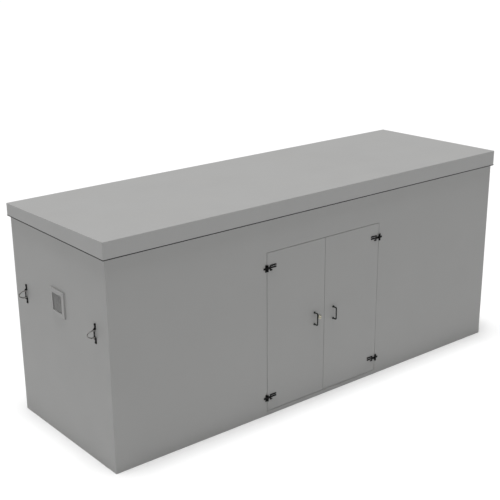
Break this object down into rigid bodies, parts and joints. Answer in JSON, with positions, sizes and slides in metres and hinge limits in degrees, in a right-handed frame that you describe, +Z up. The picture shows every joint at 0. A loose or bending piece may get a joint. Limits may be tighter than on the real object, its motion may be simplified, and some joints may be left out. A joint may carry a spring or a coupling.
{
  "type": "walk-in generator housing with standby generating set",
  "caption": "Walk-in generator housing: long flat-roofed box with double doors, end vent and tie rings, holding a diesel standby generating set, controls and fuel tank.",
  "frame": {"origin": "centre of the walls' footprint on the ground", "axes": "+X along the length towards the air discharge end, front wall with the doors at -Y, +Z up"},
  "size_m": [6.132, 2.23, 2.627],
  "materials": {
    "grp_wall": "satin gelcoat",
    "grp_roof": "satin gelcoat",
    "black_steel": "semi-gloss black powder coat",
    "dark_handle": "gloss black",
    "lock_metal": "polished",
    "ring_steel": "zinc plated",
    "zinc_steel": "zinc plated",
    "acoustic_foam": "open-cell foam with a pale perforated facing",
    "seal_rubber": "matt",
    "frame_paint": "painted",
    "deck_steel": "chequer plate paint",
    "timber": "sawn",
    "louvre_alu": "painted",
    "skid_paint": "gloss black",
    "mount_rubber": "matt",
    "engine_paint": "gloss enamel",
    "cover_paint": "cast, satin",
    "cast_iron": "heat stained",
    "filter_paint": "gloss black",
    "silencer_metal": "aluminised",
    "alternator_paint": "gloss enamel",
    "shaft_steel": "machined",
    "fan_plastic": "moulded",
    "belt_rubber": "matt",
    "radiator_paint": "matt black",
    "tank_paint": "gloss",
    "cap_metal": "satin",
    "battery_case": "moulded",
    "cabinet_paint": "textured powder coat",
    "switch_plastic": "moulded",
    "panel_plastic": "moulded",
    "stop_red": "gloss"
  },
  "bodies": {
    "enclosure": {"floor_deck": "deck_steel", "door_threshold": "grp_wall", "front_left_panel": "grp_wall", "front_right_panel": "grp_wall", "front_header_panel": "grp_wall", "rear_wall": "grp_wall", "left_end_wall": "grp_wall", "right_end_wall": "grp_wall", "roof_cap": "grp_roof", "roof_joists": "timber", "wall_lining": "acoustic_foam", "door_frame": "frame_paint", "door_seal": "seal_rubber", "air_louvres": "louvre_alu", "discharge_duct": "zinc_steel", "vent_frame": "grp_wall", "vent_grille": "grp_wall", "strap_brackets": "black_steel", "hinge_frame_plates": "black_steel", "skid_frame": "skid_paint", "vibration_mounts": "mount_rubber", "engine_block": "engine_paint", "cylinder_head": "cover_paint", "oil_sump": "engine_paint", "flywheel_housing": "cover_paint", "exhaust_manifold": "cast_iron", "air_filter": "filter_paint", "silencer": "silencer_metal", "exhaust_pipes": "silencer_metal", "alternator_housing": "alternator_paint", "charge_alternator": "cover_paint", "fan_belt": "belt_rubber", "radiator": "radiator_paint", "fan_shroud": "skid_paint", "fuel_tank": "tank_paint", "battery": "battery_case", "control_cabinet": "cabinet_paint", "switchgear": "switch_plastic"},
    "left_door": {"left_door_leaf": "grp_wall", "left_door_lining": "acoustic_foam", "left_hinge_arms": "black_steel", "left_pull_handle": "dark_handle", "lock_case": "zinc_steel"},
    "right_door": {"right_door_leaf": "grp_wall", "right_door_lining": "acoustic_foam", "right_hinge_arms": "black_steel", "right_pull_handle": "dark_handle"},
    "lock": {"lock_knob": "lock_metal"},
    "left_top_bolt": {"left_top_bolt": "zinc_steel"},
    "left_bottom_bolt": {"left_bottom_bolt": "zinc_steel"},
    "right_top_bolt": {"right_top_bolt": "zinc_steel"},
    "front_ring": {"front_ring": "ring_steel"},
    "rear_ring": {"rear_ring": "ring_steel"},
    "crankshaft": {"crankshaft": "shaft_steel"},
    "cooling_fan": {"cooling_fan": "fan_plastic"},
    "charge_pulley": {"charge_pulley": "shaft_steel"},
    "cabinet_door": {"cabinet_door": "cabinet_paint", "control_panel": "panel_plastic"},
    "stop_button": {"stop_button": "stop_red"},
    "filler_cap": {"filler_cap": "cap_metal"}
  },
  "joints": [
    {"name": "left_door_swing", "type": "hinge", "parent": "enclosure", "child": "left_door", "pos_m": [-0.897, -1.022, 1.042], "axis": [0, 0, -1], "range_deg": [0, 110]},
    {"name": "right_door_swing", "type": "hinge", "parent": "enclosure", "child": "right_door", "pos_m": [0.897, -1.022, 1.042], "axis": [0, 0, 1], "range_deg": [0, 110]},
    {"name": "lock_turn", "type": "hinge", "parent": "left_door", "child": "lock", "pos_m": [-0.085, -1.007, 1.054], "axis": [0, -1, 0], "range_deg": [0, 90]},
    {"name": "left_top_bolt_slide", "type": "slide", "parent": "left_door", "child": "left_top_bolt", "axis": [0, 0, 1], "range_m": [0, 0.02199]},
    {"name": "left_bottom_bolt_slide", "type": "slide", "parent": "left_door", "child": "left_bottom_bolt", "axis": [0, 0, -1], "range_m": [0, 0.02199]},
    {"name": "right_top_bolt_slide", "type": "slide", "parent": "right_door", "child": "right_top_bolt", "axis": [0, 0, 1], "range_m": [0, 0.022]},
    {"name": "front_ring_swing", "type": "hinge", "parent": "enclosure", "child": "front_ring", "pos_m": [-3.017, -0.75, 1.555], "axis": [0, 0, 1], "range_deg": [-75, 75]},
    {"name": "rear_ring_swing", "type": "hinge", "parent": "enclosure", "child": "rear_ring", "pos_m": [-3.017, 0.75, 1.555], "axis": [0, 0, 1], "range_deg": [-75, 75]},
    {"name": "crank_spin", "type": "hinge", "parent": "enclosure", "child": "crankshaft", "pos_m": [0.55, 0, 0.72], "axis": [1, 0, 0], "continuous": true},
    {"name": "fan_spin", "type": "hinge", "parent": "enclosure", "child": "cooling_fan", "pos_m": [1.79, 0, 0.92], "axis": [1, 0, 0], "continuous": true},
    {"name": "charge_pulley_spin", "type": "hinge", "parent": "enclosure", "child": "charge_pulley", "pos_m": [1.79, -0.285, 0.87], "axis": [1, 0, 0], "continuous": true},
    {"name": "cabinet_door_swing", "type": "hinge", "parent": "enclosure", "child": "cabinet_door", "pos_m": [-1.079, 0.621, 0.8], "axis": [0, 0, -1], "range_deg": [0, 115]},
    {"name": "stop_press", "type": "slide", "parent": "cabinet_door", "child": "stop_button", "axis": [0, 1, 0], "range_m": [0, 0.006], "stiffness_N_per_m": 600},
    {"name": "filler_cap_lift", "type": "hinge", "parent": "enclosure", "child": "filler_cap", "pos_m": [-2.38, 0.395, 1.1305], "axis": [1, 0, 0], "range_deg": [0, 105]}
  ],
  "couplings": [
    {"joint": "lock_turn", "follows": "left_top_bolt_slide", "rad_per_m": 71.429},
    {"joint": "left_bottom_bolt_slide", "follows": "left_top_bolt_slide", "ratio": 1},
    {"joint": "fan_spin", "follows": "crank_spin", "ratio": 1.2667},
    {"joint": "charge_pulley_spin", "follows": "crank_spin", "ratio": 2.375}
  ]
}
